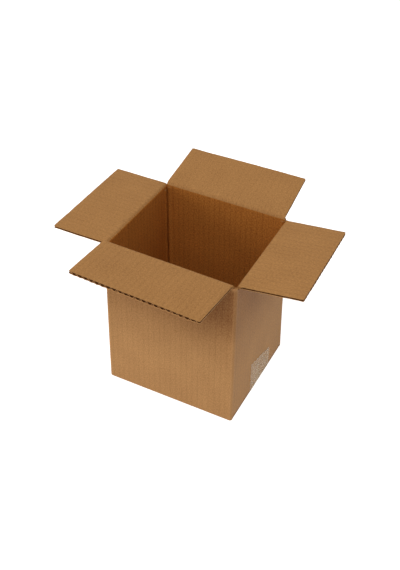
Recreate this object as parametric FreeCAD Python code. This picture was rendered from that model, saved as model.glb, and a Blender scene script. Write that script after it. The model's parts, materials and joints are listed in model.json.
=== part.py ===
import FreeCAD, Part
import math
import os

# An open slotted carton of single-wall corrugated board, in millimetres.
# +X runs along the front wall to the right, +Y from front to back and +Z up.
# The origin is on the surface it stands on, under the middle of the base.

# Outside of the closed carton
box_length = 150.0
box_width = 131.0
side_crease_height = 182.0

# Board: two liners and a fluted medium
board = 3.0
liner = 0.3
medium = 0.3
flute_pitch = 6.5
flute_crest = 1.2

# Flaps: a seam is left where two flaps meet in the middle
seam_gap = 4.0
flap_side_gap = 0.3
layer_gap = 0.2

# Top creases: the board is crushed to a thin web along the fold line
crease_web = 0.25
web_clearance = 0.1
crease_clearance = 0.3
flute_stop = 1.2

# Glued joint of the blank, inside the right wall at the back corner
tab_width = 30.0
tab_taper = 8.0
tab_end_gap = 1.5
joint_slit = 0.4

# Clear packing tape over the bottom seam and up both side walls
tape_thick = 0.06
tape_glue = 0.03
tape_width = 50.0
tape_shift = 6.0
tape_left_height = 38.0
tape_front_height = 45.0
tape_rear_height = 28.5

# How far each top flap stands above the horizontal, in degrees
front_rest = 5.0
back_rest = 11.0
left_rest = 0.5
right_rest = 7.0

half_length = box_length / 2
half_width = box_width / 2
flap_reach = min(half_length, half_width) - seam_gap / 2
flap_inset = board + flap_side_gap
crease_run = board + crease_clearance
crease_gap = crease_web + web_clearance

# Heights: the outer bottom flaps lie under the inner ones, and the outer top flaps close over the inner ones
outer_base = tape_thick + tape_glue
inner_base = outer_base + board + layer_gap
ring_base = inner_base + 2 * board
ring_top = side_crease_height - 2 * crease_run
main_crease_height = side_crease_height + board + layer_gap

# Turn of each side about Z, from a side that faces +X
RIGHT, BACK, LEFT, FRONT = 0.0, 90.0, 180.0, 270.0


def vector(x, y, z):
    return FreeCAD.Vector(x, y, z)


def in_plan(x, y):
    return vector(x, y, 0)


def in_section(s, z):
    return vector(s, 0, z)


def across(y, z):
    return vector(0, y, z)


def outline(place, start, steps):
    """Closed face from start. A step is an end point, or an arc as (point on it, end point)."""
    first = place(*start)
    here = first
    edges = []
    for step in steps:
        if isinstance(step[0], tuple):
            through = place(*step[0])
            end = place(*step[1])
            edges.append(Part.Arc(here, through, end).toShape())
        else:
            end = place(*step)
            edges.append(Part.makeLine(here, end))
        here = end
    if here.distanceToPoint(first) > 1e-6:
        edges.append(Part.makeLine(here, first))
    return Part.Face(Part.Wire(edges))


def on_circle(centre, radius, degrees):
    turn = math.radians(degrees)
    return (centre[0] + radius * math.cos(turn), centre[1] + radius * math.sin(turn))


def spread(section, width):
    """Solid of a section in the XZ plane, centred on Y."""
    solid = section.extrude(vector(0, width, 0))
    solid.translate(vector(0, -width / 2, 0))
    return solid


def turned(shape, heading, x, y, z):
    """Copy of a shape turned about Z and then moved."""
    copy = shape.copy()
    copy.rotate(vector(0, 0, 0), vector(0, 0, 1), heading)
    copy.translate(vector(x, y, z))
    return copy


def outward_place(heading):
    """Middle of the outer face of the wall that faces the heading."""
    turn = math.radians(heading)
    return half_length * round(math.cos(turn)), half_width * round(math.sin(turn))


def wall_span(heading):
    """Width of the wall between the inner faces of its neighbours."""
    return (box_width if heading in (LEFT, RIGHT) else box_length) - 2 * board


def flap_span(heading):
    return wall_span(heading) - 2 * flap_side_gap


def flute_cell(run):
    """Air space under one crest of the medium, lying on the outer liner and running along +X."""
    rise = board - 2 * liner - medium
    flank = flute_pitch / 2 - flute_crest
    slope = math.atan2(rise, flank)
    shift = medium / 2 / math.sin(slope)
    foot = flute_crest / 2 + flank * (rise + medium / 2) / rise - shift
    shoulder = flute_crest / 2 + flank * (medium / 2) / rise - shift
    crown = board - liner - medium
    radius = shoulder * math.sin(slope) / (1 - math.cos(slope))
    centre = (0, crown - radius)
    lean = math.degrees(slope)
    face = outline(
        across,
        (-foot, liner),
        [(foot, liner), on_circle(centre, radius, 90 - lean),
         (on_circle(centre, radius, 90), on_circle(centre, radius, 90 + lean))],
    )
    return face.extrude(vector(run, 0, 0))


def flute_channels(width, start, end):
    """All air spaces between the flutes of a flap, from start to past its free edge."""
    low = flute_cell(end - start)
    high = low.copy()
    high.rotate(vector(0, 0, board / 2), vector(1, 0, 0), 180)
    count = int(width / flute_pitch)
    first = -(count - 1) / 2 * flute_pitch
    cells = []
    for i in range(count):
        cells.append(low.translated(vector(start, first + i * flute_pitch, 0)))
    for i in range(count - 1):
        cells.append(high.translated(vector(start, first + (i + 0.5) * flute_pitch, 0)))
    return Part.makeCompound(cells)


def top_flap(heading, crease_height, rest):
    """Flap hinged on the outer edge of its wall, tapered to a thin web at the crease."""
    section = outline(
        in_section,
        (crease_gap, 0),
        [(flap_reach, 0), (flap_reach, board), (crease_run, board), (crease_gap, crease_web)],
    )
    span = flap_span(heading)
    slab = spread(section, span)
    flap = slab.cut(flute_channels(span, crease_run + flute_stop, flap_reach + board))
    flap.rotate(vector(0, 0, 0), vector(0, -1, 0), rest)
    x, y = outward_place(heading)
    return turned(flap, heading, x, y, crease_height)


def bottom_flap(heading, base):
    """Folded edge of a wall with its closed bottom flap."""
    bend = (board, base + board)
    section = outline(
        in_section,
        (0, ring_base),
        [(0, base + board), (on_circle(bend, board, 225), (board, base)),
         (flap_reach, base), (flap_reach, base + board), bend, (board, ring_base)],
    )
    x, y = outward_place(heading)
    return turned(spread(section, flap_span(heading)), heading + 180, x, y, 0)


def wall_top(heading, crease_height):
    """Upper strip of a wall, tapered on its inner side to the crease web."""
    section = outline(
        in_section,
        (0, ring_top),
        [(0, crease_height - crease_gap), (crease_web, crease_height - crease_gap),
         (board, crease_height - crease_run), (board, ring_top)],
    )
    x, y = outward_place(heading)
    return turned(spread(section, wall_span(heading)), heading + 180, x, y, 0)


def corner_plan(centre_x, centre_y):
    """Plan of a vertical fold with its rounded side away from the middle of the box."""
    to_x = math.copysign(board, centre_x)
    to_y = math.copysign(board, centre_y)
    middle = math.degrees(math.atan2(to_y, to_x))
    start = (centre_x, centre_y)
    return outline(
        in_plan,
        start,
        [(centre_x + to_x, centre_y),
         (on_circle(start, board, middle), (centre_x, centre_y + to_y))],
    )


def wall_ring():
    """The four walls between the corner folds."""
    inner_x = half_length - board
    inner_y = half_width - board
    height = ring_top - ring_base
    walls = []
    for x in (-half_length, inner_x):
        walls.append(Part.makeBox(board, 2 * inner_y, height, vector(x, -inner_y, ring_base)))
    for y in (-half_width, inner_y):
        walls.append(Part.makeBox(2 * inner_x, board, height, vector(-inner_x, y, ring_base)))
    return walls


def corner_posts():
    """Vertical folds, which end where the slots between the flaps stop. The jointed corner is square."""
    inner_x = half_length - board
    inner_y = half_width - board
    low, high = inner_base, side_crease_height - crease_gap
    posts = [Part.makeBox(board, board, high - low, vector(inner_x, inner_y, low))]
    for x, y in ((-inner_x, -inner_y), (inner_x, -inner_y), (-inner_x, inner_y)):
        fold = corner_plan(x, y).extrude(vector(0, 0, high - low))
        posts.append(fold.translated(vector(0, 0, low)))
    return posts


def glue_tab():
    """Tab folded from the back wall and glued inside the right wall, with slanted ends."""
    root = half_width - board
    free = root - tab_width
    low = ring_base + tab_end_gap
    high = side_crease_height - crease_run - tab_end_gap
    face = outline(
        across,
        (root, low),
        [(free, low + tab_taper), (free, high - tab_taper), (root, high)],
    )
    tab = face.extrude(vector(board, 0, 0))
    return tab.translated(vector(half_length - 2 * board, 0, 0))


def joint_groove():
    """Space beside the tab's rounded fold, left open by the cut edge of the right wall."""
    inner_x = half_length - board
    inner_y = half_width - board
    fold_x = inner_x - joint_slit
    centre = (fold_x - board, inner_y)
    outside = half_width + board
    plan = outline(
        in_plan,
        (inner_x, outside),
        [(inner_x, inner_y), (fold_x, inner_y),
         (on_circle(centre, board, 45), (centre[0], half_width)),
         (centre[0], outside)],
    )
    low, high = inner_base, main_crease_height
    return plan.extrude(vector(0, 0, high - low)).translated(vector(0, 0, low))


def carton_body():
    """Walls, joint and closed bottom flaps: one folded sheet."""
    pieces = corner_posts() + wall_ring()
    for heading in (FRONT, BACK):
        pieces.append(wall_top(heading, main_crease_height))
        pieces.append(bottom_flap(heading, outer_base))
    for heading in (LEFT, RIGHT):
        pieces.append(wall_top(heading, side_crease_height))
        pieces.append(bottom_flap(heading, inner_base))
    sheet = glue_tab().fuse(pieces)
    return sheet.cut(joint_groove()).removeSplitter()


def bottom_tape():
    """One strip that wraps the base, with its right end torn off at a slant."""
    inside_x = half_length + tape_glue
    outside_x = inside_x + tape_thick
    bend_x = half_length - flap_inset
    bend_inside = flap_inset + tape_glue
    bend_outside = bend_inside + tape_thick
    bend_z = tape_thick + bend_inside
    tall = max(tape_front_height, tape_rear_height)
    right = (bend_x, bend_z)
    left = (-bend_x, bend_z)
    section = outline(
        in_section,
        (-outside_x, tape_left_height),
        [(-outside_x, bend_z), (on_circle(left, bend_outside, 225), (-bend_x, 0)),
         (bend_x, 0), (on_circle(right, bend_outside, 315), (outside_x, bend_z)),
         (outside_x, tall), (inside_x, tall),
         (inside_x, bend_z), (on_circle(right, bend_inside, 315), (bend_x, tape_thick)),
         (-bend_x, tape_thick), (on_circle(left, bend_inside, 225), (-inside_x, bend_z)),
         (-inside_x, tape_left_height)],
    )
    strip = spread(section, tape_width).translated(vector(0, tape_shift, 0))
    front = tape_shift - tape_width / 2 - board
    rear = tape_shift + tape_width / 2 + board
    slant = (tape_front_height - tape_rear_height) / tape_width
    above = outline(
        across,
        (front, tape_front_height + slant * board),
        [(rear, tape_rear_height - slant * board), (rear, tall + board), (front, tall + board)],
    )
    waste = above.extrude(vector(2 * board, 0, 0))
    return strip.cut(waste.translated(vector(half_length - board, 0, 0)))


def build():
    return {
        "carton_body": carton_body(),
        "bottom_tape": bottom_tape(),
        "front_flap": top_flap(FRONT, main_crease_height, front_rest),
        "back_flap": top_flap(BACK, main_crease_height, back_rest),
        "left_flap": top_flap(LEFT, side_crease_height, left_rest),
        "right_flap": top_flap(RIGHT, side_crease_height, right_rest),
    }


os.makedirs("parts", exist_ok=True)
for node, shape in build().items():
    shape.exportStep("parts/" + node + ".step")
    box = shape.BoundBox
    print(node, "solids", len(shape.Solids), "valid", shape.isValid(), "volume", round(shape.Volume),
          "x", round(box.XMin, 2), round(box.XMax, 2), "y", round(box.YMin, 2), round(box.YMax, 2),
          "z", round(box.ZMin, 2), round(box.ZMax, 2))
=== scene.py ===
import json
import math

import bpy
import numpy as np
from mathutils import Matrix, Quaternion, Vector


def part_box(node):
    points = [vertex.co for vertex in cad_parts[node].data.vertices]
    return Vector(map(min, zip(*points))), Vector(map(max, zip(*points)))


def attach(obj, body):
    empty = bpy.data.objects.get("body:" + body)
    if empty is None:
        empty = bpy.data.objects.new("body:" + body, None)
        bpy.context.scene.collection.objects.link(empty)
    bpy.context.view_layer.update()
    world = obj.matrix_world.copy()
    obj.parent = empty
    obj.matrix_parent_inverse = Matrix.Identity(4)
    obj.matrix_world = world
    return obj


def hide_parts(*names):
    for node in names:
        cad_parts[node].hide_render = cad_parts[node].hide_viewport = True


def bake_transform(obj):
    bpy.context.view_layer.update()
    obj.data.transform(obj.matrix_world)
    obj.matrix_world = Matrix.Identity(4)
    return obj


bl_info = {
    "name": "Open Carton",
    "version": (1, 0, 0),
    "blender": (4, 5, 0),
    "location": "View3D > Sidebar > Carton",
    "description": "Open slotted carton of brown corrugated board, taped shut at the base",
    "category": "Object",
}

MM = 0.001
TURN = 2 * math.pi

# Places on the unfolded sheet, in tenths of a metre along the walls and up from the base; they bound the
# painted shade on the walls
RIGHT_WALL_START = 1.585
JUST_ABOVE_CREASE = 1.87

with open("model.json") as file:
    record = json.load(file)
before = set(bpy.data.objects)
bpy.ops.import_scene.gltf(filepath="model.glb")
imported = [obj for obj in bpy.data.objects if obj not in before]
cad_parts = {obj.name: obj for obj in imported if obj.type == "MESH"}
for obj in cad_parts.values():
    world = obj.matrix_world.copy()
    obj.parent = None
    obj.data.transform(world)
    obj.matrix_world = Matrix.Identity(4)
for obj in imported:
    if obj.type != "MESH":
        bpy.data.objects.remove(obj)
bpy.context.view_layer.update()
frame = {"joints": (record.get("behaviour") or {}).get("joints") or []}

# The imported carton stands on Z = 0, its front wall faces -Y and its middle is over the origin
body_low, body_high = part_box("carton_body")
tape_low, tape_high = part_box("bottom_tape")
half_length = body_high.x
half_width = body_high.y
outer_base = body_low.z


class Side:
    """One side of the carton: the way its wall faces, its crease and its place on the unfolded sheet."""

    def __init__(self, flap, sheet_pitches, is_outer):
        joint = next(j for j in frame["joints"] if j["child"] == flap)
        crease = Vector(joint["pos_m"])
        low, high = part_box(flap)
        self.flap = flap
        self.is_outer = is_outer
        self.crease = crease.z
        self.outward = Vector((crease.x, crease.y, 0)).normalized()
        self.along = Vector((-self.outward.y, self.outward.x, 0))
        self.out = crease.xy.length
        self.wall_half = (half_length if self.outward.x == 0 else half_width) - 3 * MM
        self.flap_half = abs(self.along.dot(high - low)) / 2
        self.sheet_pitches = sheet_pitches

    def place(self, along, outward, up):
        """Points from their distance along the wall, outward from the middle of the carton, and up."""
        along, outward, up = np.broadcast_arrays(along, outward, up)
        return np.stack(
            [
                along * self.along.x + outward * self.outward.x,
                along * self.along.y + outward * self.outward.y,
                up,
            ],
            axis=-1,
        )


# A flute's crest lies at each whole pitch of the unfolded sheet
SIDES = {
    "front": Side("front_flap", 12.5, True),
    "right": Side("right_flap", 34.0, False),
    "back": Side("back_flap", 55.5, True),
    "left": Side("left_flap", 77.0, False),
}


class CartonBoard(bpy.types.PropertyGroup):
    """The corrugated board."""

    thickness: bpy.props.FloatProperty(
        name="Board", description="Thickness of the board", default=3 * MM, unit="LENGTH"
    )
    liner: bpy.props.FloatProperty(
        name="Liner", description="Thickness of each liner", default=0.3 * MM, unit="LENGTH"
    )
    pitch: bpy.props.FloatProperty(
        name="Flute pitch", description="From one flute to the next", default=6.5 * MM, unit="LENGTH"
    )
    washboard: bpy.props.FloatProperty(
        name="Washboard",
        description="How far the liner sinks between two flutes",
        default=0.07 * MM,
        unit="LENGTH",
    )
    crease_run: bpy.props.FloatProperty(
        name="Crease run",
        description="Distance from a crease at which the board has its full thickness",
        default=3.3 * MM,
        unit="LENGTH",
    )
    crease_web: bpy.props.FloatProperty(
        name="Crease web", description="Board left at a top crease", default=0.35 * MM, unit="LENGTH"
    )
    rim_height: bpy.props.FloatVectorProperty(
        name="Rim height",
        description="How far above its crease each wall's inner face ends: front, right, back, left",
        size=4,
        default=(0.3 * MM, 0.1 * MM, -0.3 * MM, 0.5 * MM),
        unit="LENGTH",
    )
    rim_width: bpy.props.FloatVectorProperty(
        name="Rim width",
        description="How far in from its crease each flap's upper face starts: front, right, back, left",
        size=4,
        default=(0.3 * MM, 0.5 * MM, 0.3 * MM, 0.8 * MM),
        unit="LENGTH",
    )
    fold_radius: bpy.props.FloatProperty(
        name="Fold radius", description="Outside radius of the upright folds",
        default=2.4 * MM, unit="LENGTH",
    )
    base_radius: bpy.props.FloatProperty(
        name="Base radius", description="Outside radius of the folds at the base",
        default=1.0 * MM, unit="LENGTH",
    )
    flap_reach: bpy.props.FloatProperty(
        name="Flap reach", description="From a crease to the flap's free edge",
        default=63.5 * MM, unit="LENGTH",
    )
    side_gap: bpy.props.FloatProperty(
        name="Side gap", description="Play at each side of a flap", default=0.3 * MM, unit="LENGTH"
    )
    crush: bpy.props.FloatProperty(
        name="Crushed edge", description="How far the liners are pinched at a cut edge",
        default=0.9 * MM, unit="LENGTH",
    )
    splay: bpy.props.FloatVectorProperty(
        name="Splayed edge",
        description="How far the outer liner hangs off at a flap's free edge: front, right, back, left",
        size=4,
        default=(0.7 * MM, 0.2 * MM, 0.1 * MM, 0.2 * MM),
        unit="LENGTH",
    )
    blunt: bpy.props.FloatProperty(
        name="Blunt corner", description="How far a flap's far corners are worn back",
        default=0.5 * MM, unit="LENGTH",
    )
    corner_bead: bpy.props.FloatProperty(
        name="Corner bead",
        description="How far the inner liner buckles beside a corner fold",
        default=1.0 * MM,
        unit="LENGTH",
    )


class CartonStance(bpy.types.PropertyGroup):
    """How the used carton stands: angles are in the order front, right, back, left."""

    rest: bpy.props.FloatVectorProperty(
        name="Flap angles",
        description="How far each flap stands above the horizontal",
        size=4,
        default=[math.radians(a) for a in (4.1, 6.8, 10.6, 0.0)],
        subtype="EULER",
    )
    twist: bpy.props.FloatVectorProperty(
        name="Flap twist",
        description="How much steeper each flap stands at the end of its crease than at the start",
        size=4,
        default=[math.radians(a) for a in (0.1, -1.3, -0.6, -0.6)],
        subtype="EULER",
    )
    reach_start: bpy.props.FloatVectorProperty(
        name="Reach at start", description="Extra reach where the crease starts", size=4,
        default=(-1.0 * MM, 1.6 * MM, -0.8 * MM, -1.2 * MM), unit="LENGTH",
    )
    reach_end: bpy.props.FloatVectorProperty(
        name="Reach at end", description="Extra reach where the crease ends", size=4,
        default=(1.5 * MM, 0.8 * MM, -1.6 * MM, -1.7 * MM), unit="LENGTH",
    )
    root_start: bpy.props.FloatVectorProperty(
        name="Root inset at start", description="Extra inset of the side edge at the crease's start",
        size=4,
        default=(-3.2 * MM, 1.9 * MM, 0.7 * MM, -2.6 * MM), unit="LENGTH",
    )
    root_end: bpy.props.FloatVectorProperty(
        name="Root inset at end", description="Extra inset of the side edge at the crease's end", size=4,
        default=(1.2 * MM, -0.6 * MM, 0.0, -2.2 * MM), unit="LENGTH",
    )
    tip_start: bpy.props.FloatVectorProperty(
        name="Tip inset at start", description="Extra inset of the first far corner", size=4,
        default=(-2.4 * MM, 2.9 * MM, 3.0 * MM, -2.8 * MM), unit="LENGTH",
    )
    tip_end: bpy.props.FloatVectorProperty(
        name="Tip inset at end", description="Extra inset of the second far corner", size=4,
        default=(3.0 * MM, 0.1 * MM, -0.7 * MM, -2.2 * MM), unit="LENGTH",
    )
    foot_front_left: bpy.props.FloatVectorProperty(
        name="Front left foot", description="How far the corner stands off its true place", size=3,
        default=(-1.2 * MM, -3.9 * MM, 0.0), subtype="TRANSLATION",
    )
    foot_front_right: bpy.props.FloatVectorProperty(
        name="Front right foot", description="How far the corner stands off its true place", size=3,
        default=(2.2 * MM, -2.7 * MM, 0.0), subtype="TRANSLATION",
    )
    foot_back_right: bpy.props.FloatVectorProperty(
        name="Back right foot", description="How far the corner stands off its true place", size=3,
        default=(2.8 * MM, 2.5 * MM, 0.0), subtype="TRANSLATION",
    )
    foot_back_left: bpy.props.FloatVectorProperty(
        name="Back left foot", description="How far the corner stands off its true place", size=3,
        default=(-0.4 * MM, 2.0 * MM, 0.0), subtype="TRANSLATION",
    )
    rim_front_left: bpy.props.FloatVectorProperty(
        name="Front left rim", description="How far the corner stands off its true place", size=3,
        default=(0.1 * MM, 1.7 * MM, 0.9 * MM), subtype="TRANSLATION",
    )
    rim_front_right: bpy.props.FloatVectorProperty(
        name="Front right rim", description="How far the corner stands off its true place", size=3,
        default=(0.2 * MM, -0.8 * MM, -0.6 * MM), subtype="TRANSLATION",
    )
    rim_back_right: bpy.props.FloatVectorProperty(
        name="Back right rim", description="How far the corner stands off its true place", size=3,
        default=(-0.9 * MM, -0.5 * MM, -0.2 * MM), subtype="TRANSLATION",
    )
    rim_back_left: bpy.props.FloatVectorProperty(
        name="Back left rim", description="How far the corner stands off its true place", size=3,
        default=(-0.5 * MM, 0.0, 1.0 * MM), subtype="TRANSLATION",
    )
    waist: bpy.props.FloatVectorProperty(
        name="Waist",
        description="How far each upright fold bows outward halfway up: "
        "front left, front right, back right, back left",
        size=4, default=(0.3 * MM, 0.0, -0.6 * MM, 0.0), unit="LENGTH",
    )
    bulge: bpy.props.FloatProperty(
        name="Bulge", description="How far the middle of a wall bows outward",
        default=0.5 * MM, unit="LENGTH",
    )


class CartonFinish(bpy.types.PropertyGroup):
    """Colours of the board and the tape."""

    outer_liner: bpy.props.FloatVectorProperty(
        name="Outer liner", description="Brown paper on the outside", size=3, subtype="COLOR",
        default=(0.548, 0.281, 0.105), min=0, max=1,
    )
    # Painted shade: the inside of the walls gets a redder, deeper brown than the flap face, which is the same
    # paper
    shaded_inner_liner: bpy.props.FloatVectorProperty(
        name="Shaded inner liner", description="Brown paper on the inside of the walls", size=3, subtype="COLOR",
        default=(0.465, 0.168, 0.0305), min=0, max=1,
    )
    flap_face: bpy.props.FloatVectorProperty(
        name="Flap face", description="Brown paper on the flaps' upper faces", size=3, subtype="COLOR",
        default=(0.435, 0.210, 0.0665), min=0, max=1,
    )
    # Painted highlight: the rounded outside of the upright folds gets a lighter brown
    fold_highlight: bpy.props.FloatVectorProperty(
        name="Fold highlight", description="Brown paper painted lighter along the upright folds as a highlight",
        size=3, subtype="COLOR",
        default=(0.580, 0.300, 0.116), min=0, max=1,
    )
    raw_edge: bpy.props.FloatVectorProperty(
        name="Cut edge", description="Bare fibres at a cut edge", size=3, subtype="COLOR",
        default=(0.33, 0.15, 0.045), min=0, max=1,
    )
    # Painted shade: the fluting and the underside of the top liner get a very dark brown, so the open flutes
    # at the flaps' cut edges look shaded inside
    shaded_fluting: bpy.props.FloatVectorProperty(
        name="Shaded fluting", description="Fluted paper between the liners", size=3, subtype="COLOR",
        default=(0.15, 0.055, 0.016), min=0, max=1,
    )
    tape: bpy.props.FloatVectorProperty(
        name="Tape", description="Haze of the clear tape", size=3, subtype="COLOR",
        default=(0.80, 0.56, 0.28), min=0, max=1,
    )
    tape_cover: bpy.props.FloatProperty(
        name="Tape cover", description="How much of the board the tape hides", default=0.34,
        min=0, max=1, subtype="FACTOR",
    )


class CartonStage(bpy.types.PropertyGroup):
    """Floor, lamps and camera."""

    horizon: bpy.props.FloatProperty(
        name="Horizon", description="Strength of the white light from all round", default=0.12, min=0
    )
    overhead: bpy.props.FloatProperty(
        name="Overhead", description="Further strength of the white light from straight above",
        default=0.70, min=0,
    )
    key: bpy.props.FloatProperty(
        name="Key lamp", description="Power of the soft lamp low at the left",
        default=9.0, min=0, unit="POWER",
    )
    fill: bpy.props.FloatProperty(
        name="Fill lamp", description="Power of the soft lamp above the camera",
        default=5.0, min=0, unit="POWER",
    )
    table_glow: bpy.props.FloatProperty(
        name="Table glow", description="Light that the white table sends up at the walls",
        default=0.20, min=0,
    )
    lens: bpy.props.FloatProperty(
        name="Lens", description="Focal length on a 36 mm frame", default=49.9, min=1, unit="CAMERA"
    )
    camera_place: bpy.props.FloatVectorProperty(
        name="Camera", description="Where the camera stands", size=3, subtype="TRANSLATION",
        default=(0.3021, -0.5940, 0.6594),
    )
    camera_aim: bpy.props.FloatVectorProperty(
        name="Aim", description="Point in the middle of the picture", size=3, subtype="TRANSLATION",
        default=(0.0059, -0.0063, 0.1200),
    )
    camera_roll: bpy.props.FloatProperty(
        name="Roll", description="Tilt of the camera about its line of sight", default=math.radians(0.84),
        subtype="ANGLE",
    )


def side_value(values, side):
    """The value that belongs to a side, in the order front, right, back, left."""
    return values[list(SIDES.values()).index(side)]


def ripple(x, y, seed):
    """Smooth wandering between about -1 and 1 that repeats about once in each unit."""
    total = 0.0
    weight = 0.0
    for k in range(6):
        heading = 1.7 * seed + 2.4 * k
        rate = 0.6 + 0.31 * k
        share = 1 / (1 + 0.35 * k)
        across = x * math.cos(heading) + y * math.sin(heading)
        total = total + share * np.sin(TURN * rate * across + 3.1 * seed + 1.3 * k)
        weight += share
    return 1.6 * total / weight


def sheet_along(side, a):
    """Place on the unfolded sheet, along the four walls, of a point on a side."""
    return a + side.sheet_pitches * bpy.context.scene.carton_board.pitch


def flute_wave(side, a):
    """1 where a flute touches the inner liner and -1 where it touches the outer one."""
    return np.cos(TURN * sheet_along(side, a) / bpy.context.scene.carton_board.pitch)


def stood(points):
    """Points of the true carton moved to where the used one, a little out of square, has them."""
    stance = bpy.context.scene.carton_stance
    x = points[..., 0] / half_length
    y = points[..., 1] / half_width
    height = np.clip(points[..., 2] / SIDES["left"].crease, 0, 1)
    moved = points.copy()
    bow = np.sin(math.pi * height)
    corners = (
        (-1, -1, stance.foot_front_left, stance.rim_front_left, stance.waist[0]),
        (1, -1, stance.foot_front_right, stance.rim_front_right, stance.waist[1]),
        (1, 1, stance.foot_back_right, stance.rim_back_right, stance.waist[2]),
        (-1, 1, stance.foot_back_left, stance.rim_back_left, stance.waist[3]),
    )
    for side_x, side_y, foot, rim, waist in corners:
        share = (1 + side_x * x) * (1 + side_y * y) / 4
        middle = (side_x * 0.8 * waist, side_y * 0.6 * waist, 0)
        for k in range(3):
            moved[..., k] += share * ((1 - height) * foot[k] + height * rim[k] + bow * middle[k])
    belly = stance.bulge * bow
    moved[..., 0] += belly * x * np.clip(1 - y * y, 0, 1)
    moved[..., 1] += belly * y * np.clip(1 - x * x, 0, 1)
    return moved


def wall_points(side, a, depth, z):
    """Points in a wall, by their depth from its outer face."""
    return stood(side.place(a, side.out - depth, z))


def flap_points(side, a, u, v):
    """Points in a top flap: along the crease, out from it, and above the flap's outer liner."""
    board = bpy.context.scene.carton_board
    stance = bpy.context.scene.carton_stance
    a, u, v = np.broadcast_arrays(a, u, v)
    share = (a / side.flap_half + 1) / 2
    reach = u / board.flap_reach
    angle = side_value(stance.rest, side) + side_value(stance.twist, side) * (share - 0.5)
    root_start = (1 - reach) * side_value(stance.root_start, side)
    inset_start = root_start + reach * side_value(stance.tip_start, side)
    root_end = (1 - reach) * side_value(stance.root_end, side)
    inset_end = root_end + reach * side_value(stance.tip_end, side)
    along = a + (1 - share) * inset_start - share * inset_end
    extra = (1 - share) * side_value(stance.reach_start, side) + share * side_value(stance.reach_end, side)
    from_end = np.minimum(a + side.flap_half, side.flap_half - a)
    worn = board.blunt * np.exp(-((from_end / (1.3 * MM)) ** 2)) * np.clip(reach, 0, 1) ** 6
    outward = u + reach * extra - worn
    out = outward * np.cos(angle) - v * np.sin(angle)
    up = outward * np.sin(angle) + v * np.cos(angle)
    crease = side.place(a, side.out, side.crease)
    return side.place(along, side.out + out, side.crease + up) + (stood(crease) - crease)


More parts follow.
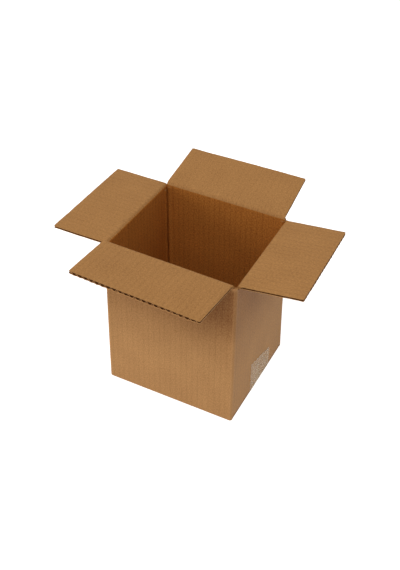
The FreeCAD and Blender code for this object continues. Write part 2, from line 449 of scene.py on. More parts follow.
class Shape:
    """Closed pieces of one object, gathered into a single mesh."""

    def __init__(self):
        self.points = []
        self.faces = []
        self.finishes = []
        self.sheet = []
        self.count = 0

    def add(self, points, faces, finishes, sheet):
        """Adds one closed piece, its faces turned outward. The sheet has a place for each face corner."""
        points = np.asarray(points, float)
        faces = np.asarray(faces, int)
        sheet = np.asarray(sheet, float)
        a, b, c, d = (points[faces[:, k]] for k in range(4))
        volume = np.einsum("ij,ij->", np.cross(a, b), c) + np.einsum("ij,ij->", np.cross(a, c), d)
        if volume < 0:
            faces = faces[:, ::-1]
            sheet = sheet[:, ::-1]
        self.points.append(points)
        self.faces.append(faces + self.count)
        self.finishes.append(np.asarray(finishes, int))
        self.sheet.append(sheet)
        self.count += len(points)

    def slab(self, upper, lower, upper_sheet, lower_sheet, finishes):
        """Closed slab between two grids of points. Finishes: its upper face, lower face and edge."""
        rows, columns = upper.shape[:2]
        points = np.concatenate([upper.reshape(-1, 3), lower.reshape(-1, 3)])
        top = np.arange(rows * columns).reshape(rows, columns)
        under = top + rows * columns
        faces = [grid_faces(top), grid_faces(under)[:, ::-1]]
        flat = np.concatenate([upper_sheet.reshape(-1, 2), lower_sheet.reshape(-1, 2)])
        sheet = [flat[f] for f in faces]
        marks = [np.full(len(faces[0]), finishes[0]), np.full(len(faces[1]), finishes[1])]
        for line in (top[0], top[-1][::-1], top[:, -1], top[:, 0][::-1]):
            beneath = line + rows * columns
            edge = np.stack([line[1:], line[:-1], beneath[:-1], beneath[1:]], axis=-1)
            faces.append(edge)
            marks.append(np.full(len(edge), finishes[2]))
            run = np.concatenate([[0], np.cumsum(np.linalg.norm(np.diff(points[line], axis=0), axis=1))])
            across = np.linalg.norm(points[line] - points[beneath], axis=1)
            spots = np.stack([np.stack([run, 0 * run], -1), np.stack([run, across], -1)])
            sheet.append(
                np.stack([spots[0][1:], spots[0][:-1], spots[1][:-1], spots[1][1:]], axis=1)
            )
        self.add(points, np.concatenate(faces), np.concatenate(marks), np.concatenate(sheet))

    def wedge(self, rings, ring_sheet, finishes):
        """Closed solid swept through rings of the same number of points. Finishes are one for each step round
        the ring, and then one for the two ends."""
        rings = np.asarray(rings, float)
        count, size = rings.shape[:2]
        middle = rings[[0, -1]].mean(axis=1)
        points = np.concatenate([rings.reshape(-1, 3), middle])
        index = np.arange(count * size).reshape(count, size)
        closed = np.concatenate([index, index[:, :1]], axis=1)
        faces = [grid_faces(closed)]
        flat = np.concatenate([ring_sheet, ring_sheet[:, :1]], axis=1).reshape(-1, 2)
        order = np.arange(count * (size + 1)).reshape(count, size + 1)
        sheet = [flat[grid_faces(order)]]
        marks = [np.tile(np.asarray(finishes[:-1]), count - 1)]
        for ring, centre, turn in ((index[0], count * size, 1), (index[-1], count * size + 1, -1)):
            after = np.roll(ring, -1)
            cap = np.stack([ring, after, np.full(size, centre), np.full(size, centre)], axis=-1)[:, ::turn]
            faces.append(cap)
            marks.append(np.full(size, finishes[-1]))
            sheet.append(points[cap][..., [0, 2]] + points[cap][..., [1, 1]])
        self.add(points, np.concatenate(faces), np.concatenate(marks), np.concatenate(sheet))

    def make(self, name, materials, sharp=35):
        """The object, smooth except where its faces meet at more than the sharp angle."""
        points = np.concatenate(self.points)
        faces = np.concatenate(self.faces)
        sheet = np.concatenate(self.sheet)
        finishes = np.concatenate(self.finishes)
        corners = [tuple(dict.fromkeys(face)) for face in faces.tolist()]
        mesh = bpy.data.meshes.new(name)
        mesh.from_pydata(points.tolist(), [], corners)
        layer = mesh.uv_layers.new(name="Sheet")
        spots = []
        for face, places in zip(faces.tolist(), sheet.tolist()):
            seen = set()
            for corner, place in zip(face, places):
                if corner not in seen:
                    spots.extend(place)
                    seen.add(corner)
        layer.data.foreach_set("uv", np.asarray(spots, np.float32) * 10)
        for material in materials:
            mesh.materials.append(material)
        mesh.polygons.foreach_set("material_index", finishes.astype(np.int32))
        mesh.polygons.foreach_set("use_smooth", np.ones(len(faces), bool))
        mesh.set_sharp_from_angle(angle=math.radians(sharp))
        mesh.validate()
        mesh.update()
        made = bpy.data.objects.new(name, mesh)
        bpy.context.scene.collection.objects.link(made)
        return made


def grid_faces(index):
    """Quads between the points of a grid of numbers."""
    quads = np.stack([index[:-1, :-1], index[:-1, 1:], index[1:, 1:], index[1:, :-1]], axis=-1)
    return quads.reshape(-1, 4)


def sheet_grid(side, a, run):
    """Places on the unfolded sheet for a grid of distances along and up a side."""
    along, up = np.broadcast_arrays(sheet_along(side, a), run)
    return np.stack([along, up], axis=-1)


def flute_columns(half):
    """Distances along a side, close enough to draw each flute."""
    pitch = bpy.context.scene.carton_board.pitch
    count = int(round(2 * half / pitch * 10))
    return np.linspace(-half, half, count + 1)[None, :]


def pinch(side, a, u):
    """How far the liners are pressed together near a flap's cut edges, crushed by knife and handling."""
    board = bpy.context.scene.carton_board
    seed = side.sheet_pitches
    from_side = side.flap_half - np.abs(a)
    from_tip = board.flap_reach - u
    cut = np.exp(-((from_side / (1.6 * MM)) ** 2)) * (0.45 + 0.12 * ripple(u / (15 * MM), 0 * a, seed + 1))
    worn = np.clip(0.10 + 0.45 * ripple(a / (30 * MM), 0 * a, seed), 0, 0.7)
    if side.sheet_pitches == SIDES["front"].sheet_pitches:
        knocked = np.clip((a - 26 * MM) / (14 * MM), 0, 1)
        worn = worn * 0.2 + knocked * (0.22 + 0.30 * ripple(a / (9 * MM), 0 * a, 3))
    tip = np.exp(-((from_tip / (2.2 * MM)) ** 2)) * worn
    return board.crush * np.maximum(cut, tip)


def flap_heights(side, a, u):
    """Heights in a flap of the faces of its two liners: inner liner outside and inside, outer liner inside and
    outside."""
    board = bpy.context.scene.carton_board
    sink = board.washboard * (1 - flute_wave(side, a)) / 2
    rise = board.washboard * (1 + flute_wave(side, a)) / 2
    soft = 0.12 * MM * ripple(a / (60 * MM), u / (60 * MM), side.sheet_pitches + 2)
    pressed = pinch(side, a, u)
    from_tip = board.flap_reach - u
    near_tip = np.exp(-((from_tip / (2.6 * MM)) ** 2))
    scallop = 0.5 * MM * near_tip * ((1 + flute_wave(side, a)) / 2) ** 1.4
    splay = side_value(board.splay, side) * near_tip
    top = board.thickness - sink - 0.6 * pressed + soft
    low = rise + pressed + (scallop - splay) * np.clip(1 - 1.2 * pressed / board.crush, 0, 1) + soft
    return top, top - board.liner, low + board.liner, low


def top_flap(side):
    """Two liners with the fluted paper between them, open at the cut edges."""
    board = bpy.context.scene.carton_board
    a = flute_columns(side.flap_half)
    shape = Shape()
    out = np.linspace(board.crease_run, board.flap_reach, 34)[:, None]
    top, under_top, _, _ = flap_heights(side, a, out)
    sheet = sheet_grid(side, a, side.crease + out)
    # The top liner's underside takes the fluting's dark brown, painted as shade in the flutes
    shape.slab(
        flap_points(side, a, out, top), flap_points(side, a, out, under_top), sheet, sheet, (4, 3, 2)
    )
    out = np.linspace(board.crease_web, board.flap_reach, 34)[:, None]
    _, _, over_low, low = flap_heights(side, a, out)
    full = np.clip((out - board.crease_web) / board.liner, 0.5, 1)
    sheet = sheet_grid(side, a, side.crease + out)
    shape.slab(
        flap_points(side, a, out, low + (over_low - low) * full), flap_points(side, a, out, low),
        sheet, sheet, (1, 1, 1),
    )
    out = np.linspace(board.crease_run + 0.6 * MM, board.flap_reach - 0.05 * MM, 34)[:, None]
    _, under_top, over_low, _ = flap_heights(side, a, out)
    room = under_top - over_low - 1.4 * board.liner
    wave = flute_wave(side, a + 0.25 * MM * ripple(a / (20 * MM), out / (90 * MM), side.sheet_pitches + 4))
    middle = (under_top + over_low) / 2 + room / 2 * np.clip(1.5 * wave - 0.45, -1, 1)
    # The fluting's upper face is painted dark as shade under the top liner; its lower face takes the outer
    # liner's brown
    shape.slab(
        flap_points(side, a, out, middle + 0.7 * board.liner),
        flap_points(side, a, out, middle - 0.7 * board.liner),
        sheet_grid(side, a, out), sheet_grid(side, a, out), (3, 1, 1),
    )
    return shape


def shoulder(side):
    """The inner liner, round the top crease from the wall to the flap, with the crushed board under it."""
    board = bpy.context.scene.carton_board
    a = flute_columns(side.flap_half - 0.05 * MM)
    on_wall = a * (side.wall_half / side.flap_half)
    seed = side.sheet_pitches + 7
    loose = 0.18 * MM * ripple(a / (24 * MM), 0 * a, seed)
    loose = loose + 0.10 * MM * ripple(a / (9 * MM), 0 * a, seed + 3)
    run = board.crease_run
    start = wall_points(side, on_wall, board.thickness, side.crease - run)
    top = flap_heights(side, a, run + 0 * a)[0]
    finish = flap_points(side, a, run + 0 * a, top)
    crease = flap_points(side, a, 0 * a, 0 * a)
    rim_rise = side_value(board.rim_height, side) + loose
    edge = crease + side.place(0 * a, -board.thickness + 0.1 * MM, rim_rise)
    brow = flap_points(side, a, -side_value(board.rim_width, side) + loose, top)
    rings = [start[0], (start + 0.5 * (edge - start))[0]]
    for corner, before, after, share in ((edge, start, brow, 0.22), (brow, edge, finish, 0.32)):
        first = corner + share * (before - corner)
        last = corner + share * (after - corner)
        for t in np.linspace(0, 1, 5):
            rings.append(((1 - t) ** 2 * first + 2 * t * (1 - t) * corner + t * t * last)[0])
    rings.append(finish[0])
    sheet = []
    count = len(rings) - 1
    for k in range(count + 1):
        sheet.append(sheet_grid(side, a, side.crease - run + 2 * run * k / count)[0])
    pivot = flap_points(side, a, board.crease_web + 0 * a, 0.3 * MM)
    rings.append(pivot[0])
    sheet.append(sheet_grid(side, a, side.crease + 0 * a)[0])
    shape = Shape()
    # The rings nearest the wall take the inner liner's redder brown, painted as shade, more of them on the
    # left flap
    shaded = 6 if side.flap == "left_flap" else 3
    finishes = [0] * shaded + [4] * (count - shaded) + [2, 2, 4]
    shape.wedge(np.stack(rings, axis=1), np.stack(sheet, axis=1), finishes)
    return shape


def bead(from_corner):
    """How far the inner liner stands in from the wall at a distance from the corner fold."""
    board = bpy.context.scene.carton_board
    ridge = np.exp(-(((from_corner - 3.0 * MM) / (1.7 * MM)) ** 2))
    groove = np.exp(-((from_corner / (0.8 * MM)) ** 2))
    return board.corner_bead * (ridge - 0.6 * groove)


def wall_profile(side, base):
    """Rows from the free edge of the bottom flap, round its bend and up the wall: depths and heights of the
    outer and the inner skin, and the distance run on the sheet."""
    board = bpy.context.scene.carton_board
    t = board.thickness
    radius = board.base_radius
    bend = np.radians(np.linspace(0, 90, 7))
    floor_out = np.linspace(board.flap_reach, t + 0.4 * MM, 12)
    wall_up = np.linspace(base + t + 0.5 * MM, side.crease - board.crease_web, 30)
    wall_up_in = np.linspace(base + t + 0.9 * MM, side.crease - board.crease_run, 30)
    outer_depth = np.concatenate([floor_out, radius - radius * np.sin(bend), 0 * wall_up])
    outer_z = np.concatenate([base + 0 * floor_out, base + radius - radius * np.cos(bend), wall_up])
    inner_depth = np.concatenate([floor_out, t + 0.4 * MM * (1 - np.sin(bend)), t + 0 * wall_up])
    inner_z = np.concatenate(
        [base + t + 0 * floor_out, base + t + 0.4 * MM * (1 - np.cos(bend)), wall_up_in]
    )
    steps = np.hypot(np.diff(outer_depth), np.diff(outer_z))
    run = np.concatenate([[0], np.cumsum(steps)])
    run += side.crease - run[-1]
    return outer_depth, outer_z, inner_depth, inner_z, run


def wall_panel(shape, side, base):
    """One wall with its bottom flap, from the seam to the top crease."""
    board = bpy.context.scene.carton_board
    a = flute_columns(side.wall_half)
    outer_depth, outer_z, inner_depth, inner_z, run = (row[:, None] for row in wall_profile(side, base))
    from_corner = side.wall_half - np.abs(a)
    wave = flute_wave(side, a)
    fade = np.clip(from_corner / (5 * MM), 0, 1)
    soft = 0.10 * MM * ripple(a / (50 * MM), run / (70 * MM), side.sheet_pitches + 1) * fade
    outer_sink = board.washboard * 0.7 * (1 + wave) / 2 * fade + soft
    inner_sink = board.washboard * (1 - wave) / 2 * fade
    on_wall = np.clip((inner_z - base - board.thickness) / (8 * MM), 0, 1)
    rumple = 1 + 0.35 * ripple(run / (35 * MM), 0 * a + np.sign(a), side.sheet_pitches + 3)
    inner_rise = bead(from_corner) * on_wall * rumple
    flap_inset = 0.4 * MM - board.thickness if side.is_outer else board.side_gap
    narrow = np.where(outer_depth > board.thickness, flap_inset, 0)
    spread = a * (1 - narrow / side.wall_half)
    turn = np.clip((outer_z - base) / board.thickness, 0, 1)
    outer = wall_points(side, spread, outer_depth + outer_sink * turn, outer_z + outer_sink * (1 - turn))
    facing = np.clip((inner_z - base - board.thickness) / (1 * MM), 0, 1)
    inner = wall_points(
        side, spread, inner_depth - inner_sink * facing + inner_rise, inner_z - inner_sink * (1 - facing)
    )
    sheet = sheet_grid(side, a, run)
    # The inner face takes the inner liner's redder brown, painted as shade inside the box
    shape.slab(outer, inner, sheet, sheet, (1, 0, 2))


def fold_outline(start):
    """Distances along and in from the outer face of an upright fold, from where its wall ends."""
    board = bpy.context.scene.carton_board
    t = board.thickness
    radius = board.fold_radius
    turn = np.radians(np.linspace(0, 90, 8))
    along = np.concatenate([[start], start + t - radius + radius * np.sin(turn), [start + t]])
    depth = np.concatenate([[0], radius - radius * np.cos(turn), [t]])
    return along[None, :], depth[None, :]


def corner_fold(shape, side, top):
    """The upright fold between a wall's end and the next wall."""
    board = bpy.context.scene.carton_board
    t = board.thickness
    z = np.linspace(outer_base + 0.8 * MM, top, 26)[:, None]
    a, depth = fold_outline(side.wall_half)
    outer = wall_points(side, a, depth, z)
    middle = wall_points(side, side.wall_half + 0 * z, t + 0 * z, z)
    run = np.concatenate([[0], np.cumsum(np.hypot(np.diff(a[0]), np.diff(depth[0])))])[None, :]
    arc_sheet = np.stack(np.broadcast_arrays(sheet_along(side, side.wall_half) + run, z), axis=-1)
    rings = np.concatenate([outer, middle], axis=1)
    sheet = np.concatenate([arc_sheet, arc_sheet[:, :1]], axis=1)
    # The rounded outside of the fold is painted lighter as a highlight
    shape.wedge(rings, sheet, [5] * (a.shape[1] - 1) + [0, 0, 2])


def joint_corner(shape):
    """The glued corner: the right wall ends in a cut edge, and the back wall folds in behind as the tab."""
    board = bpy.context.scene.carton_board
    t = board.thickness
    right = SIDES["right"]
    back = SIDES["back"]
    low = outer_base + 0.8 * MM
    high = right.crease + 0.8 * MM
    z = np.linspace(low, high, 26)[:, None]
    a = np.array([right.wall_half, right.wall_half + t])[None, :]
    outer = wall_points(right, a, 0, z)
    inner = wall_points(right, a, t, z)
    sheet = sheet_grid(right, a, z)
    shape.slab(outer, inner, sheet, sheet, (1, 0, 2))
    slit = 0.4 * MM
    start = -back.wall_half + slit + t
    reach, depth = fold_outline(0)
    a = start - reach
    outer = wall_points(back, a, depth, z)
    middle = wall_points(back, start + 0 * z, t + 0 * z, z)
    arc_sheet = sheet_grid(back, a, z)
    rings = np.concatenate([outer, middle], axis=1)
    sheet = np.concatenate([arc_sheet, arc_sheet[:, :1]], axis=1)
    shape.wedge(rings, sheet, [1] * (a.shape[1] - 1) + [0, 0, 2])


def glue_tab(shape):
    """The tab of the back wall, glued inside the right wall, with slanted ends."""
    board = bpy.context.scene.carton_board
    right = SIDES["right"]
    width = 30 * MM
    taper = 8 * MM
    gap = 1.5 * MM
    low = outer_base + 3 * board.thickness + 0.2 * MM + gap
    high = right.crease - board.crease_run - gap
    share = np.linspace(0, 1, 20)[None, :]
    a = right.wall_half - 0.02 * MM - width * share
    rows = np.linspace(0, 1, 24)[:, None]
    z = (low + taper * share) * (1 - rows) + (high - taper * share) * rows
    sink = board.washboard * (1 - flute_wave(right, a)) / 2
    front = wall_points(right, a, 2 * board.thickness - sink, z)
    behind = wall_points(right, a, board.thickness + 0.1 * MM, z)
    sheet = sheet_grid(right, a, z)
    shape.slab(front, behind, sheet, sheet, (0, 0, 2))


def folded_sheet():
    """The four walls, their folds, the glued joint and the closed bottom flaps."""
    board = bpy.context.scene.carton_board
    shape = Shape()
    inner_base = outer_base + board.thickness + 0.2 * MM
    for side in SIDES.values():
        wall_panel(shape, side, outer_base if side.is_outer else inner_base)
    corner_fold(shape, SIDES["front"], SIDES["front"].crease - 0.5 * MM)
    corner_fold(shape, SIDES["back"], SIDES["left"].crease + 1.6 * MM)
    corner_fold(shape, SIDES["left"], SIDES["left"].crease + 0.4 * MM)
    joint_corner(shape)
    glue_tab(shape)
    return shape


def tape_profile():
    """Rows along the tape, from its torn right end down, under the base and up the left wall."""
    board = bpy.context.scene.carton_board
    gap = 0.02 * MM
    radius = board.base_radius
    round_up = radius + gap
    bend = np.radians(np.linspace(0, 90, 9))
    corner = half_length - radius
    rise = np.linspace(1, 0, 26)
    down_x = half_length + gap + 0 * rise
    right_arc_x = corner + round_up * np.cos(bend)
    right_arc_z = outer_base + radius - round_up * np.sin(bend)
    under_x = np.linspace(corner, -corner, 30)[1:-1]
    under_z = outer_base - gap + 0 * under_x
    return rise, down_x, right_arc_x, right_arc_z, under_x, under_z


def bottom_tape():
    """One strip of clear tape round the base, puckered where it was pressed on by hand."""
    board = bpy.context.scene.carton_board
    thin = 0.04 * MM
    rise, down_x, arc_x, arc_z, under_x, under_z = tape_profile()
    y = np.linspace(tape_low.y, tape_high.y, 61)
    share = (y - y[0]) / (y[-1] - y[0])
    torn = 0.5 * MM * ripple(share * 9, 0 * share, 5)
    right_top = tape_high.z * (1 - share) + 28.5 * MM * share + torn
    left_top = 38 * MM + 0.4 * MM * ripple(share * 11, 0 * share, 6)
    start = outer_base + board.base_radius
    rows = []
    for k in range(len(rise)):
        rows.append(np.stack([down_x[k] + 0 * y, y, start + (right_top - start) * rise[k]], axis=-1))
    for k in range(1, len(arc_x)):
        rows.append(np.stack([arc_x[k] + 0 * y, y, arc_z[k] + 0 * y], axis=-1))
    for k in range(len(under_x)):
        rows.append(np.stack([under_x[k] + 0 * y, y, under_z[k] + 0 * y], axis=-1))
    for k in reversed(range(len(arc_x))):
        rows.append(np.stack([-arc_x[k] + 0 * y, y, arc_z[k] + 0 * y], axis=-1))
    for k in reversed(range(len(rise) - 1)):
        rows.append(np.stack([-down_x[k] + 0 * y, y, start + (left_top - start) * rise[k]], axis=-1))
    inside = np.stack(rows)
    step_row = np.gradient(inside, axis=0)
    normal = np.cross(np.broadcast_to([0.0, 1.0, 0.0], inside.shape), step_row)
    normal /= np.linalg.norm(normal, axis=-1, keepdims=True)
    run = np.cumsum(np.linalg.norm(np.diff(inside[:, 30], axis=0), axis=1))
    run = np.concatenate([[0], run])[:, None]
    pucker = np.clip(ripple(y[None, :] / (7 * MM), run / (45 * MM), 3), 0, 1) ** 2 * 0.22 * MM
    on_wall = np.clip((inside[..., 2] - start) / (6 * MM), 0, 1)
    lift = (0.01 * MM + (0.12 * MM + pucker) * on_wall)[..., None]
    outward = normal if normal[3, 30, 0] > 0 else -normal
    near = stood(inside + outward * lift)
    far = stood(inside + outward * (lift + thin))
    sheet = np.stack(np.broadcast_arrays(y[None, :], run), axis=-1)
    shape = Shape()
    shape.slab(far, near, sheet, sheet, (0, 0, 0))
    return shape


def new_group(name, inputs, outputs):
    """Shader node group with its named sockets. Inputs and outputs are pairs of name and kind."""
    group = bpy.data.node_groups.new(name, "ShaderNodeTree")
    for label, kind, value in inputs:
        socket = group.interface.new_socket(name=label, in_out="INPUT", socket_type=kind)
        socket.default_value = value
    for label, kind in outputs:
        group.interface.new_socket(name=label, in_out="OUTPUT", socket_type=kind)
    return group, group.nodes.new("NodeGroupInput"), group.nodes.new("NodeGroupOutput")


def math_node(tree, operation, first, second=None, third=None, clamp=False):
    """Math node. Each value is a socket or a number."""
    node = tree.nodes.new("ShaderNodeMath")
    node.operation = operation
    node.use_clamp = clamp
    for socket, value in zip(node.inputs, (first, second, third)):
        if value is None:
            continue
        if isinstance(value, (int, float)):
            socket.default_value = value
        else:
            tree.links.new(value, socket)
    return node.outputs[0]


def stretched_noise(tree, place, along, up, turn, detail=2.0, roughness=0.5):
    """Noise over the sheet. Along and up are how many times it repeats in a metre."""
    mapping = tree.nodes.new("ShaderNodeMapping")
    mapping.inputs["Rotation"].default_value = (0, 0, turn)
    mapping.inputs["Scale"].default_value = (along / 10, up / 10, 1)
    tree.links.new(place, mapping.inputs["Vector"])
    noise = tree.nodes.new("ShaderNodeTexNoise")
    noise.noise_dimensions = "2D"
    noise.inputs["Scale"].default_value = 1.0
    noise.inputs["Detail"].default_value = detail
    noise.inputs["Roughness"].default_value = roughness
    tree.links.new(mapping.outputs["Vector"], noise.inputs["Vector"])
    return noise.outputs["Fac"]


def kraft_paper_group():
    """Brown paper: cloudy pulp, fine fibres, dark shives and the faint lines of the flutes below it, with
    painted shade towards the top of the walls and a painted shadow under the front flap's right end.
    """
    pitch = bpy.context.scene.carton_board.pitch
    group, given, result = new_group(
        "Kraft paper",
        [
            ("Flute lines", "NodeSocketFloat", 0.5),
            ("Mottle", "NodeSocketFloat", 0.5),
            ("Crest offset", "NodeSocketFloat", 0.0),
            ("Painted upper shade", "NodeSocketFloat", 0.0),
        ],
        [("Shade", "NodeSocketFloat"), ("Height", "NodeSocketFloat"), ("Roughness", "NodeSocketFloat")],
    )
    place = group.nodes.new("ShaderNodeUVMap")
    place.uv_map = "Sheet"
    spot = place.outputs["UV"]
    cloud = stretched_noise(group, spot, 42, 30, 0.0, 3.0)
    blotch = stretched_noise(group, spot, 760, 440, 0.1, 2.0, 0.6)
    long_fibre = stretched_noise(group, spot, 420, 2600, 0.35, 2.0)
    cross_fibre = stretched_noise(group, spot, 2400, 520, -0.25, 2.0)
    shives = stretched_noise(group, spot, 900, 2200, 0.12, 1.0)
    parts = group.nodes.new("ShaderNodeSeparateXYZ")
    group.links.new(spot, parts.inputs["Vector"])
    wander = math_node(group, "MULTIPLY", cloud, 0.35)
    crest = math_node(group, "MULTIPLY", parts.outputs["X"], 0.1 / pitch)
    crest = math_node(group, "ADD", crest, given.outputs["Crest offset"])
    crest = math_node(group, "ADD", crest, wander)
    crest = math_node(group, "COSINE", math_node(group, "MULTIPLY", crest, TURN))
    line = math_node(group, "POWER", math_node(group, "MULTIPLY_ADD", crest, 0.5, 0.5), 5.0)
    broken = math_node(group, "MULTIPLY", line, stretched_noise(group, spot, 150, 26, 0.0, 2.0))
    shade = math_node(group, "MULTIPLY", math_node(group, "SUBTRACT", blotch, 0.5), given.outputs["Mottle"])
    shade = math_node(group, "ADD", shade, 1.0)
    far_cloud = math_node(group, "MULTIPLY", math_node(group, "SUBTRACT", cloud, 0.5), 0.16)
    shade = math_node(group, "ADD", shade, far_cloud)
    fibres = math_node(group, "ADD", long_fibre, cross_fibre)
    fibres = math_node(group, "MULTIPLY", math_node(group, "SUBTRACT", fibres, 1.0), 0.35)
    shade = math_node(group, "ADD", shade, math_node(group, "MULTIPLY", fibres, given.outputs["Mottle"]))
    dark = math_node(group, "MULTIPLY", math_node(group, "SUBTRACT", shives, 0.66, clamp=True), -1.6)
    shade = math_node(group, "ADD", shade, dark)
    lines = math_node(group, "MULTIPLY", broken, given.outputs["Flute lines"])
    shade = math_node(group, "SUBTRACT", shade, lines)
    # Painted shade: darker towards the top of each wall, where the top flaps shade it, stopping just above the
    # crease
    climb = math_node(group, "SUBTRACT", parts.outputs["Y"], 0.62)
    climb = math_node(group, "MULTIPLY", climb, 1.25, clamp=True)
    climb = math_node(group, "POWER", climb, 1.5)
    # Painted shadow of the front flap, deepest near the front wall's right end and stopping where the right
    # wall starts
    off_corner = math_node(group, "MULTIPLY", math_node(group, "SUBTRACT", parts.outputs["X"], 1.38), 1.8)
    corner_shadow = math_node(group, "MULTIPLY", math_node(group, "MULTIPLY", off_corner, off_corner), -1.0)
    corner_shadow = math_node(group, "MULTIPLY", math_node(group, "EXPONENT", corner_shadow), climb)
    before_right = math_node(group, "SUBTRACT", RIGHT_WALL_START, parts.outputs["X"])
    this_side = math_node(group, "MULTIPLY", before_right, 20.0, clamp=True)
    corner_shadow = math_node(group, "MULTIPLY", math_node(group, "MULTIPLY", corner_shadow, this_side), 0.8)
    corner_shadow = math_node(group, "ADD", corner_shadow, 0.98)
    painted_shade = math_node(group, "MULTIPLY", climb, given.outputs["Painted upper shade"])
    painted_shade = math_node(group, "MULTIPLY", painted_shade, corner_shadow)
    under_crease = math_node(group, "SUBTRACT", JUST_ABOVE_CREASE, parts.outputs["Y"])
    below_crease = math_node(group, "MULTIPLY", under_crease, 12.0, clamp=True)
    painted_shade = math_node(group, "MULTIPLY", painted_shade, below_crease)
    shade = math_node(group, "SUBTRACT", shade, painted_shade)
    height = math_node(group, "ADD", fibres, math_node(group, "MULTIPLY", blotch, 0.5))
    rough = math_node(group, "MULTIPLY", math_node(group, "SUBTRACT", blotch, 0.5), 0.3)
    rough = math_node(group, "ADD", rough, 0.62)
    group.links.new(shade, result.inputs["Shade"])
    group.links.new(height, result.inputs["Height"])
    group.links.new(rough, result.inputs["Roughness"])
    return group


def paper_material(name, colour, flute_lines, mottle, crest_offset, sheen, painted_shade=0.0):
    """Board paper in one colour, with its own strength of flute lines, mottle and sheen, and of painted shade
    towards the top of the walls.
    """
    material = bpy.data.materials.new(name)
    material.use_nodes = True
    material.diffuse_color = (*colour, 1)
    tree = material.node_tree
    shader = tree.nodes["Principled BSDF"]
    paper = tree.nodes.new("ShaderNodeGroup")
    paper.node_tree = bpy.data.node_groups["Kraft paper"]
    paper.inputs["Flute lines"].default_value = flute_lines
    paper.inputs["Mottle"].default_value = mottle
    paper.inputs["Crest offset"].default_value = crest_offset
    paper.inputs["Painted upper shade"].default_value = painted_shade
    # Lower shade turns the colour darker and redder, for the mottle and the painted shade alike
    depth = math_node(tree, "MULTIPLY", math_node(tree, "SUBTRACT", paper.outputs["Shade"], 0.5), 2.0)
    tint = tree.nodes.new("ShaderNodeMix")
    tint.data_type = "RGBA"
    tint.clamp_factor = False
    tint.inputs["A"].default_value = (0.52 * colour[0], 0.44 * colour[1], 0.36 * colour[2], 1)
    tint.inputs["B"].default_value = (*colour, 1)
    tree.links.new(depth, tint.inputs["Factor"])
    bump = tree.nodes.new("ShaderNodeBump")
    bump.inputs["Strength"].default_value = 0.5
    bump.inputs["Distance"].default_value = 0.05 * MM
    tree.links.new(paper.outputs["Height"], bump.inputs["Height"])
    tree.links.new(tint.outputs["Result"], shader.inputs["Base Color"])
    tree.links.new(paper.outputs["Roughness"], shader.inputs["Roughness"])
    tree.links.new(bump.outputs["Normal"], shader.inputs["Normal"])
    shader.inputs["Specular IOR Level"].default_value = sheen
    return material


def board_materials():
    """Inner liner painted redder as shade, outer liner, cut edge, fluting painted dark as shade, flap face and
    folds painted lighter as a highlight, in the order that the shapes number them.
    """
    names = ("Shaded inner liner", "Outer liner", "Cut edge", "Shaded fluting", "Flap face", "Fold highlight")
    if names[0] in bpy.data.materials:
        return [bpy.data.materials[n] for n in names]
    finish = bpy.context.scene.carton_finish
    kraft_paper_group()
    return [
        paper_material(names[0], finish.shaded_inner_liner, 0.18, 1.0, 0.5, 0.08),
        # Outer liner, with painted shade towards the top of the walls
        paper_material(names[1], finish.outer_liner, 0.10, 0.58, 0.0, 0.14, 0.30),
        paper_material(names[2], finish.raw_edge, 0.0, 0.8, 0.0, 0.10),
        paper_material(names[3], finish.shaded_fluting, 0.0, 0.3, 0.0, 0.05),
        paper_material(names[4], finish.flap_face, 0.11, 0.68, 0.5, 0.14),
        # Upright folds painted lighter as a highlight, with painted shade towards the top
        paper_material(names[5], finish.fold_highlight, 0.0, 0.4, 0.0, 0.16, 0.24),
    ]


def tape_material():
    """Clear film with a milky haze where the glue didn't wet the paper."""
    finish = bpy.context.scene.carton_finish
    material = bpy.data.materials.new("Clear tape")
    material.use_nodes = True
    material.diffuse_color = (*finish.tape, finish.tape_cover)
    tree = material.node_tree
    shader = tree.nodes["Principled BSDF"]
    place = tree.nodes.new("ShaderNodeUVMap")
    place.uv_map = "Sheet"
    streak = stretched_noise(tree, place.outputs["UV"], 130, 14, 0.0, 3.0)
    haze = math_node(tree, "MULTIPLY_ADD", streak, 0.5, finish.tape_cover - 0.25)
    tree.links.new(haze, shader.inputs["Alpha"])
    bump = tree.nodes.new("ShaderNodeBump")
    bump.inputs["Strength"].default_value = 0.25
    bump.inputs["Distance"].default_value = 0.1 * MM
    tree.links.new(streak, bump.inputs["Height"])
    tree.links.new(bump.outputs["Normal"], shader.inputs["Normal"])
    shader.inputs["Base Color"].default_value = (*finish.tape, 1)
    shader.inputs["Roughness"].default_value = 0.38
    shader.inputs["Coat Weight"].default_value = 0.15
    shader.inputs["Coat Roughness"].default_value = 0.25
    return material


class CARTON_OT_folded_sheet(bpy.types.Operator):
    """Fold the walls, the glued joint and the bottom flaps from one sheet of board"""

    bl_idname = "carton.folded_sheet"
    bl_label = "Folded Sheet"

    def execute(self, context):
        made = folded_sheet().make("folded_sheet", board_materials())
        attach(made, "carton")
        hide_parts("carton_body")
        return {"FINISHED"}


class CARTON_OT_top_flaps(bpy.types.Operator):
    """Cut the four top flaps, with their fluted edges"""

    bl_idname = "carton.top_flaps"
    bl_label = "Top Flaps"

    def execute(self, context):
        for side in SIDES.values():
            made = top_flap(side).make(side.flap + "_board", board_materials())
            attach(made, side.flap)
            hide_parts(side.flap)
        return {"FINISHED"}


class CARTON_OT_fold_shoulders(bpy.types.Operator):
    """Lay the inner liner round each top crease, from the wall over to the flap where it rests"""

    bl_idname = "carton.fold_shoulders"
    bl_label = "Fold Shoulders"

    def execute(self, context):
        for side in SIDES.values():
            made = shoulder(side).make(side.flap + "_shoulder", board_materials())
            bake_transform(made)
        return {"FINISHED"}


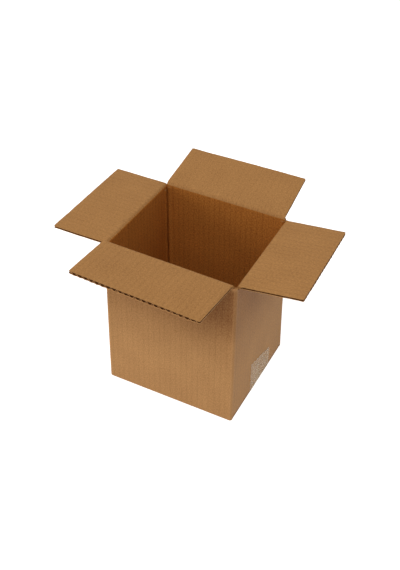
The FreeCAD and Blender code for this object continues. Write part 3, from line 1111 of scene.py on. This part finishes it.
class CARTON_OT_bottom_tape(bpy.types.Operator):
    """Stick the clear tape over the bottom seam and up both side walls"""

    bl_idname = "carton.bottom_tape"
    bl_label = "Bottom Tape"

    def execute(self, context):
        made = bottom_tape().make("bottom_tape_film", [tape_material()])
        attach(made, "carton")
        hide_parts("bottom_tape")
        return {"FINISHED"}


def mix_by_ray(tree, seen, unseen):
    """Shader that is the first one for the camera, mirrors and glass, and the second one for light."""
    path = tree.nodes.new("ShaderNodeLightPath")
    direct = math_node(tree, "MAXIMUM", path.outputs["Is Camera Ray"], path.outputs["Is Glossy Ray"])
    direct = math_node(tree, "MAXIMUM", direct, path.outputs["Is Transmission Ray"])
    mix = tree.nodes.new("ShaderNodeMixShader")
    tree.links.new(direct, mix.inputs["Fac"])
    tree.links.new(unseen, mix.inputs[1])
    tree.links.new(seen, mix.inputs[2])
    return mix.outputs["Shader"]


def white_sky(horizon, overhead):
    """White light, stronger from above, with a plain white background."""
    world = bpy.data.worlds.new("White sky")
    bpy.context.scene.world = world
    world.use_nodes = True
    tree = world.node_tree
    light = tree.nodes["Background"]
    light.inputs["Color"].default_value = (1, 1, 1, 1)
    way = tree.nodes.new("ShaderNodeTexCoord")
    parts = tree.nodes.new("ShaderNodeSeparateXYZ")
    tree.links.new(way.outputs["Generated"], parts.inputs["Vector"])
    height = math_node(tree, "MAXIMUM", parts.outputs["Z"], 0.0)
    strength = math_node(tree, "ADD", math_node(tree, "MULTIPLY", height, overhead), horizon)
    tree.links.new(strength, light.inputs["Strength"])
    backdrop = tree.nodes.new("ShaderNodeBackground")
    backdrop.inputs["Color"].default_value = (1, 1, 1, 1)
    backdrop.inputs["Strength"].default_value = 1.0
    tree.links.new(
        mix_by_ray(tree, backdrop.outputs["Background"], light.outputs["Background"]),
        tree.nodes["World Output"].inputs["Surface"],
    )


def pale_floor():
    """White floor that keeps a faint shadow and throws light back up at the walls."""
    size = 6.0
    mesh = bpy.data.meshes.new("floor")
    corners = [(-size, -size, 0), (size, -size, 0), (size, size, 0), (-size, size, 0)]
    mesh.from_pydata(corners, [], [(0, 1, 2, 3)])
    floor = bpy.data.objects.new("floor", mesh)
    bpy.context.scene.collection.objects.link(floor)
    material = bpy.data.materials.new("Pale floor")
    material.use_nodes = True
    tree = material.node_tree
    tree.nodes.remove(tree.nodes["Principled BSDF"])
    paint = tree.nodes.new("ShaderNodeBsdfDiffuse")
    paint.inputs["Color"].default_value = (0.85, 0.85, 0.85, 1)
    lit = []
    bounce = tree.nodes.new("ShaderNodeBsdfDiffuse")
    bounce.inputs["Color"].default_value = (0.50, 0.50, 0.50, 1)
    for paint, strength in ((paint, 0.75), (bounce, bpy.context.scene.carton_stage.table_glow)):
        glow = tree.nodes.new("ShaderNodeEmission")
        glow.inputs["Color"].default_value = (1, 1, 1, 1)
        glow.inputs["Strength"].default_value = strength
        both = tree.nodes.new("ShaderNodeAddShader")
        tree.links.new(paint.outputs["BSDF"], both.inputs[0])
        tree.links.new(glow.outputs["Emission"], both.inputs[1])
        lit.append(both.outputs["Shader"])
    tree.links.new(mix_by_ray(tree, lit[0], lit[1]), tree.nodes["Material Output"].inputs["Surface"])
    mesh.materials.append(material)


def soft_lamp(name, place, aim, size, power):
    """Large square lamp that faces a point."""
    lamp = bpy.data.lights.new(name, "AREA")
    lamp.shape = "SQUARE"
    lamp.size = size
    lamp.energy = power
    made = bpy.data.objects.new(name, lamp)
    made.location = place
    made.rotation_mode = "QUATERNION"
    made.rotation_quaternion = (Vector(aim) - Vector(place)).to_track_quat("-Z", "Y")
    bpy.context.scene.collection.objects.link(made)


def camera():
    """Camera at the photograph's place, turned a little about its line of sight."""
    stage = bpy.context.scene.carton_stage
    data = bpy.data.cameras.new("camera")
    data.lens = stage.lens
    data.clip_start = 0.01
    made = bpy.data.objects.new("camera", data)
    place = Vector(stage.camera_place)
    made.location = place
    made.rotation_mode = "QUATERNION"
    line = (Vector(stage.camera_aim) - place).to_track_quat("-Z", "Y")
    made.rotation_quaternion = line @ Quaternion((0, 0, 1), stage.camera_roll)
    bpy.context.scene.collection.objects.link(made)
    bpy.context.scene.camera = made


class CARTON_OT_stage(bpy.types.Operator):
    """Set the floor, the lamps, the white surroundings and the camera"""

    bl_idname = "carton.stage"
    bl_label = "Stage"

    def execute(self, context):
        stage = context.scene.carton_stage
        context.scene.view_settings.view_transform = "Standard"
        white_sky(stage.horizon, stage.overhead)
        pale_floor()
        soft_lamp("key lamp", (-1.35, -0.80, 0.42), (0, 0, 0.12), 0.9, stage.key)
        soft_lamp("fill lamp", (0.26, -0.88, 1.42), (0, 0, 0.15), 0.6, stage.fill)
        camera()
        return {"FINISHED"}


class CARTON_PT_panel(bpy.types.Panel):
    """The carton's steps and sizes"""

    bl_idname = "CARTON_PT_panel"
    bl_label = "Open Carton"
    bl_space_type = "VIEW_3D"
    bl_region_type = "UI"
    bl_category = "Carton"

    def draw(self, context):
        for step in STEPS:
            self.layout.operator(step.bl_idname)
        for name, _ in SETTINGS:
            group = getattr(context.scene, name)
            box = self.layout.box()
            for key in group.bl_rna.properties.keys():
                if key not in ("rna_type", "name"):
                    box.prop(group, key)


STEPS = (
    CARTON_OT_folded_sheet,
    CARTON_OT_top_flaps,
    CARTON_OT_fold_shoulders,
    CARTON_OT_bottom_tape,
    CARTON_OT_stage,
)
SETTINGS = (
    ("carton_board", CartonBoard),
    ("carton_stance", CartonStance),
    ("carton_finish", CartonFinish),
    ("carton_stage", CartonStage),
)


def register():
    for name, group in SETTINGS:
        bpy.utils.register_class(group)
        setattr(bpy.types.Scene, name, bpy.props.PointerProperty(type=group))
    for item in (*STEPS, CARTON_PT_panel):
        bpy.utils.register_class(item)


def unregister():
    for item in (CARTON_PT_panel, *reversed(STEPS)):
        bpy.utils.unregister_class(item)
    for name, group in reversed(SETTINGS):
        delattr(bpy.types.Scene, name)
        bpy.utils.unregister_class(group)


def main():
    register()
    bpy.ops.carton.folded_sheet()
    bpy.ops.carton.top_flaps()
    bpy.ops.carton.fold_shoulders()
    bpy.ops.carton.bottom_tape()
    bpy.ops.carton.stage()


if __name__ == "__main__":
    main()
